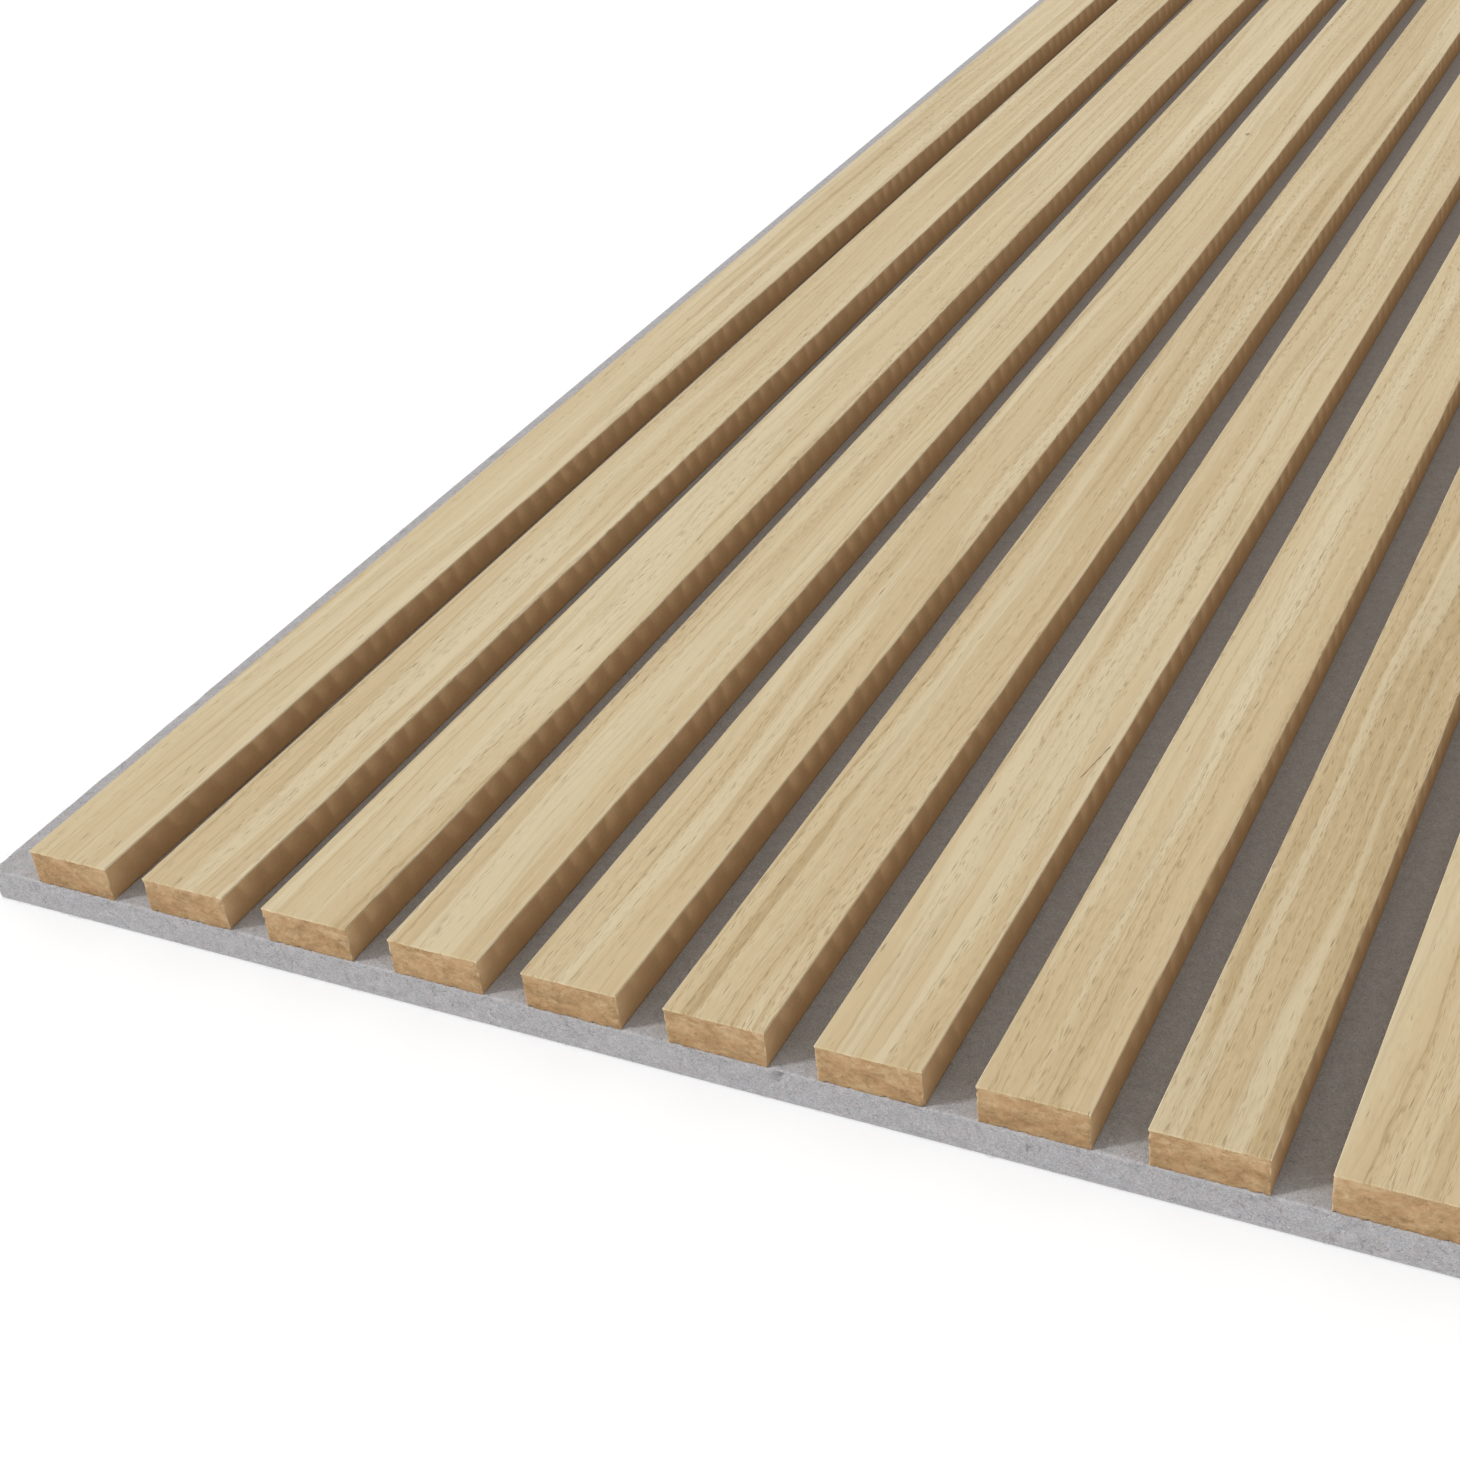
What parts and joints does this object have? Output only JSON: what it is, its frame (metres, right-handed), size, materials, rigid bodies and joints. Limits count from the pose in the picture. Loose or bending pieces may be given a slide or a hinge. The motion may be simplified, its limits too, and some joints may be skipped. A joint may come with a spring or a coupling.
{
  "type": "acoustic slat wall panel",
  "caption": "Flat wall panel of oak-faced fibreboard slats on a grey felt board, with open grooves between the slats and a felt lip along one long edge.",
  "frame": {"origin": "centre of the felt board's back face, the face that goes against the wall", "axes": "+X across the slats, away from the felt lip; +Y along the slats; +Z out of the panel's face"},
  "size_m": [0.605, 2.4, 0.021],
  "materials": {
    "felt": "needled polyester felt, matt",
    "fibreboard": "raw sawn fibreboard",
    "oak_veneer": "matt lacquered light oak veneer",
    "staple_wire": "bright galvanised flat wire"
  },
  "bodies": {
    "root": {"felt_backing": "felt", "slat_core_01": "fibreboard", "slat_core_02": "fibreboard", "slat_core_03": "fibreboard", "slat_core_04": "fibreboard", "slat_core_05": "fibreboard", "slat_core_06": "fibreboard", "slat_core_07": "fibreboard", "slat_core_08": "fibreboard", "slat_core_09": "fibreboard", "slat_core_10": "fibreboard", "slat_core_11": "fibreboard", "slat_core_12": "fibreboard", "slat_core_13": "fibreboard", "slat_core_14": "fibreboard", "slat_core_15": "fibreboard", "slat_veneer_01": "oak_veneer", "slat_veneer_02": "oak_veneer", "slat_veneer_03": "oak_veneer", "slat_veneer_04": "oak_veneer", "slat_veneer_05": "oak_veneer", "slat_veneer_06": "oak_veneer", "slat_veneer_07": "oak_veneer", "slat_veneer_08": "oak_veneer", "slat_veneer_09": "oak_veneer", "slat_veneer_10": "oak_veneer", "slat_veneer_11": "oak_veneer", "slat_veneer_12": "oak_veneer", "slat_veneer_13": "oak_veneer", "slat_veneer_14": "oak_veneer", "slat_veneer_15": "oak_veneer", "rear_staples": "staple_wire"}
  },
  "joints": []
}
